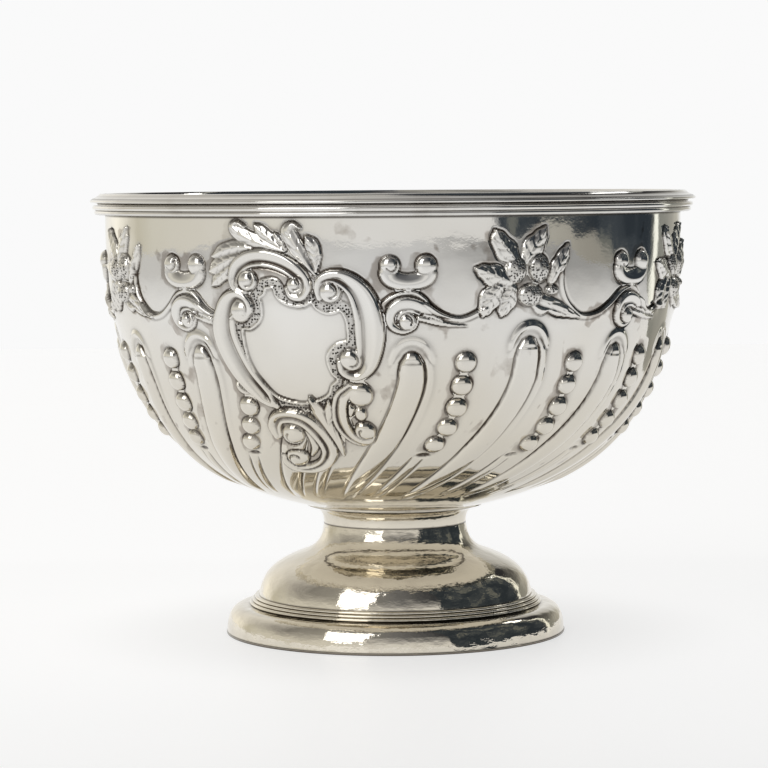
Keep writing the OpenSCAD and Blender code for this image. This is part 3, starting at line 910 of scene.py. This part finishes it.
def floor(outline):
    """A plain pale table, which ends at the outline; its glow is painted light, with a painted shadow
    round the foot.
    """
    m = bpy.data.materials.new("floor")
    m.use_nodes = True
    b = m.node_tree.nodes["Principled BSDF"].inputs
    b["Base Color"].default_value = (0.28, 0.28, 0.28, 1)
    b["Roughness"].default_value = 0.5
    b["Specular IOR Level"].default_value = 0.25
    b["Emission Color"].default_value = (1, 1, 1, 1)
    t = Nodes(m.node_tree)
    t.feed(b["Emission Strength"], floor_glow(t))
    mesh = bpy.data.meshes.new("floor")
    mesh.from_pydata([(x, y, 0) for x, y in outline], [], [tuple(range(len(outline)))])
    mesh.materials.append(m)
    o = bpy.data.objects.new("floor", mesh)
    bpy.context.scene.collection.objects.link(o)


def softbox(name, place, size, power):
    """A rectangular lamp that faces the bowl."""
    light = bpy.data.lights.new(name, "AREA")
    light.shape = "RECTANGLE"
    light.size, light.size_y = size
    light.energy = power
    o = bpy.data.objects.new(name, light)
    o.location = place
    o.rotation_euler = (Vector((0, 0, 0.1)) - Vector(place)).to_track_quat("-Z", "Y").to_euler()
    bpy.context.scene.collection.objects.link(o)


def room(tree):
    """What the silver mirrors: a light band at eye level, dark above, a dark door to the right."""
    t = Nodes(tree)
    maths = t.maths
    sky = t.add("TexCoord").outputs["Generated"]
    xyz = t.add("SeparateXYZ", Vector=sky)
    ragged = maths("MULTIPLY", maths("SUBTRACT", t.noise(sky, Scale=2.2, Detail=2.0), 0.5), 0.5)
    # azimuth: 0 towards the front, positive to the right, in degrees
    angle = maths("MULTIPLY", maths("ARCTAN2", xyz.outputs["X"],
                                    maths("MULTIPLY", xyz.outputs["Y"], -1.0)), 180 / math.pi)
    turn = maths("ADD", angle, maths("MULTIPLY", ragged, 22.0))
    up = maths("ADD", xyz.outputs["Z"], maths("MULTIPLY", ragged, 0.10))
    whole = maths("ADD", maths("MULTIPLY", turn, 1 / 360), 0.5)     # 0..1 once round, from the back

    def between(value, a, b, soft):
        return maths("MULTIPLY",
                     maths("MULTIPLY", maths("SUBTRACT", value, a), 1 / soft, True),
                     maths("MULTIPLY", maths("SUBTRACT", b, value), 1 / soft, True))

    level = t.ramp(
        whole, (0.0, (0.90, 0.90, 0.89)), (0.05, (0.95, 0.93, 0.88)), (0.105, (1.15, 1.11, 1.0)),
        (0.135, (0.88, 0.85, 0.76)), (0.165, (0.64, 0.61, 0.51)), (0.194, (0.72, 0.70, 0.62)),
        (0.278, (0.75, 0.725, 0.66)), (0.36, (0.77, 0.75, 0.69)), (0.46, (0.80, 0.79, 0.77)),
        (0.62, (0.78, 0.77, 0.75)), (0.67, (0.47, 0.455, 0.405)), (0.73, (0.34, 0.325, 0.285)),
        (0.86, (0.24, 0.245, 0.22)), (0.90, (0.37, 0.36, 0.32)), (0.935, (0.55, 0.53, 0.46)),
        (0.96, (0.86, 0.86, 0.84)), (1.0, (0.90, 0.90, 0.89)))
    above = t.ramp(
        whole, (0.0, (0.55, 0.54, 0.52)), (0.06, (0.84, 0.82, 0.78)), (0.15, (0.66, 0.64, 0.60)),
        (0.25, (0.26, 0.25, 0.235)), (0.34, (0.36, 0.35, 0.32)), (0.50, (0.18, 0.18, 0.185)),
        (0.60, (0.05, 0.052, 0.058)), (0.84, (0.03, 0.03, 0.033)), (0.925, (0.035, 0.035, 0.038)),
        (0.95, (0.46, 0.455, 0.44)), (1.0, (0.52, 0.51, 0.50)))
    colour = t.mix(t.ramp(up, (0.12, 0.0), (0.26, 0.5), (0.50, 1.0)), level, above)
    # the table's far edge: how low the dark side of the room can be seen, by direction
    edge = t.ramp(whole, (0.60, 0.50), (0.655, 0.50), (0.668, 0.655), (0.692, 0.655),
                  (0.711, 0.54), (0.735, 0.50), (0.748, 0.26), (0.83, 0.17))
    over_edge = maths("SUBTRACT", up, maths("SUBTRACT", maths("MULTIPLY", edge, 0.2), 0.15))
    dark_from = maths("MULTIPLY", over_edge, 80.0, True)
    cloth = t.ramp(t.noise(sky, Scale=5.0, Detail=3.0), (0.42, (0.030, 0.038, 0.047)),
                   (0.58, (0.055, 0.065, 0.075)), (0.66, (0.16, 0.165, 0.15)))
    colour = t.mix(maths("MULTIPLY", between(turn, 38, 126.5, 3), dark_from), colour, cloth)
    strip = maths("MULTIPLY", between(turn, 126, 131.5, 1.2), between(up, -1, 0.8, 0.1))
    colour = t.mix(strip, colour, (1.1, 1.1, 1.0, 1))
    # seen straight on, the studio is a plain pale sweep
    plain = t.mix(t.add("LightPath").outputs["Is Camera Ray"], colour, (0.955, 0.955, 0.955, 1))
    t.feed(tree.nodes["Background"].inputs["Color"], plain)
    tree.nodes["Background"].inputs["Strength"].default_value = 1.0


floor([(-2.4, -2.6), (2.5, -2.6), (2.3, -1.1), (1.60, -0.28), polar(118, 1.75),
       polar(123.5, 0.5), polar(147, 0.5), polar(149, 2.7), (-2.4, 2.3)])
softbox("key", (-1.12, -1.54, 1.22), (1.15, 1.55), 11)
softbox("fill", (1.5, 1.2, 1.9), (0.5, 0.5), 2)

world = bpy.data.worlds.new("studio")
bpy.context.scene.world = world
world.use_nodes = True
room(world.node_tree)

scene = bpy.context.scene
scene.view_settings.view_transform = "Standard"
scene.view_settings.look = "None"

# level with the rim, 1.39 m in front of the bowl's axis
cam = bpy.data.objects.new("camera", bpy.data.cameras.new("camera"))
scene.collection.objects.link(cam)
scene.camera = cam
cam.data.sensor_width = 36
cam.data.lens = 140.1
cam.location = (0, -1.390, 0.2127)
cam.rotation_mode = "QUATERNION"
pan, tip, bank = (math.radians(v) for v in (0.19, 90 - 4.01, -0.42))
cam.rotation_quaternion = (Matrix.Rotation(pan, 3, "Z") @ Matrix.Rotation(tip, 3, "X")
                           @ Matrix.Rotation(bank, 3, "Z")).to_quaternion()
cam.data.clip_start, cam.data.clip_end = 0.05, 50
